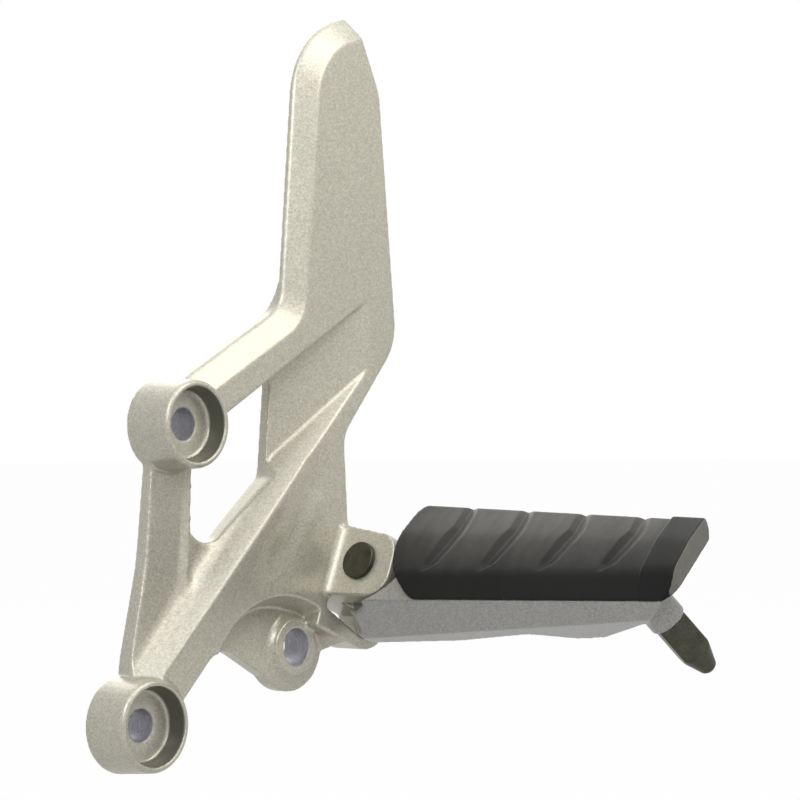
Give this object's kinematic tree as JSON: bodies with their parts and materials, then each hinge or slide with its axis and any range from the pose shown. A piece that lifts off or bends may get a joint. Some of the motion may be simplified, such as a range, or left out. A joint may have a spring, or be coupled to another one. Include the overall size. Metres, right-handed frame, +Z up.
{
  "type": "motorcycle footpeg with hanger",
  "caption": "Cast silver footrest hanger with a tall heel guard and a folding, rubber-topped rider's peg with a bank-angle feeler.",
  "frame": {"origin": "centre of the upper frame-bolt bore, on the mounting plane at the back of the bosses", "axes": "-Y is outward from the motorcycle along the frame bolts, +Z is up along the heel guard, +X is to the rear along the plate"},
  "size_m": [0.1169, 0.1356, 0.208],
  "materials": {
    "cast_paint": "fine metallic champagne-silver paint on a casting",
    "pad_rubber": "satin moulded",
    "dark_steel": "dark olive-black plating",
    "zinc_steel": "bright zinc",
    "bush_bronze": "plain bearing bronze"
  },
  "bodies": {
    "hanger": {"hanger_bracket": "cast_paint", "hinge_pin": "dark_steel", "pin_washer": "zinc_steel", "pin_clip": "zinc_steel", "return_spring": "zinc_steel"},
    "peg": {"peg_body": "cast_paint", "hinge_bush": "bush_bronze", "rubber_pad": "pad_rubber", "pad_plate": "zinc_steel", "pad_screws": "zinc_steel", "bank_feeler": "dark_steel"}
  },
  "joints": [
    {"name": "peg_fold", "type": "hinge", "parent": "hanger", "child": "peg", "pos_m": [0.0555, -0.0246, -0.0386], "axis": [-0.9245, 0, 0.3811], "range_deg": [0, 80], "stiffness_Nm_per_rad": 0.12, "springref_deg": -51.57, "deforming": ["return_spring"]}
  ]
}
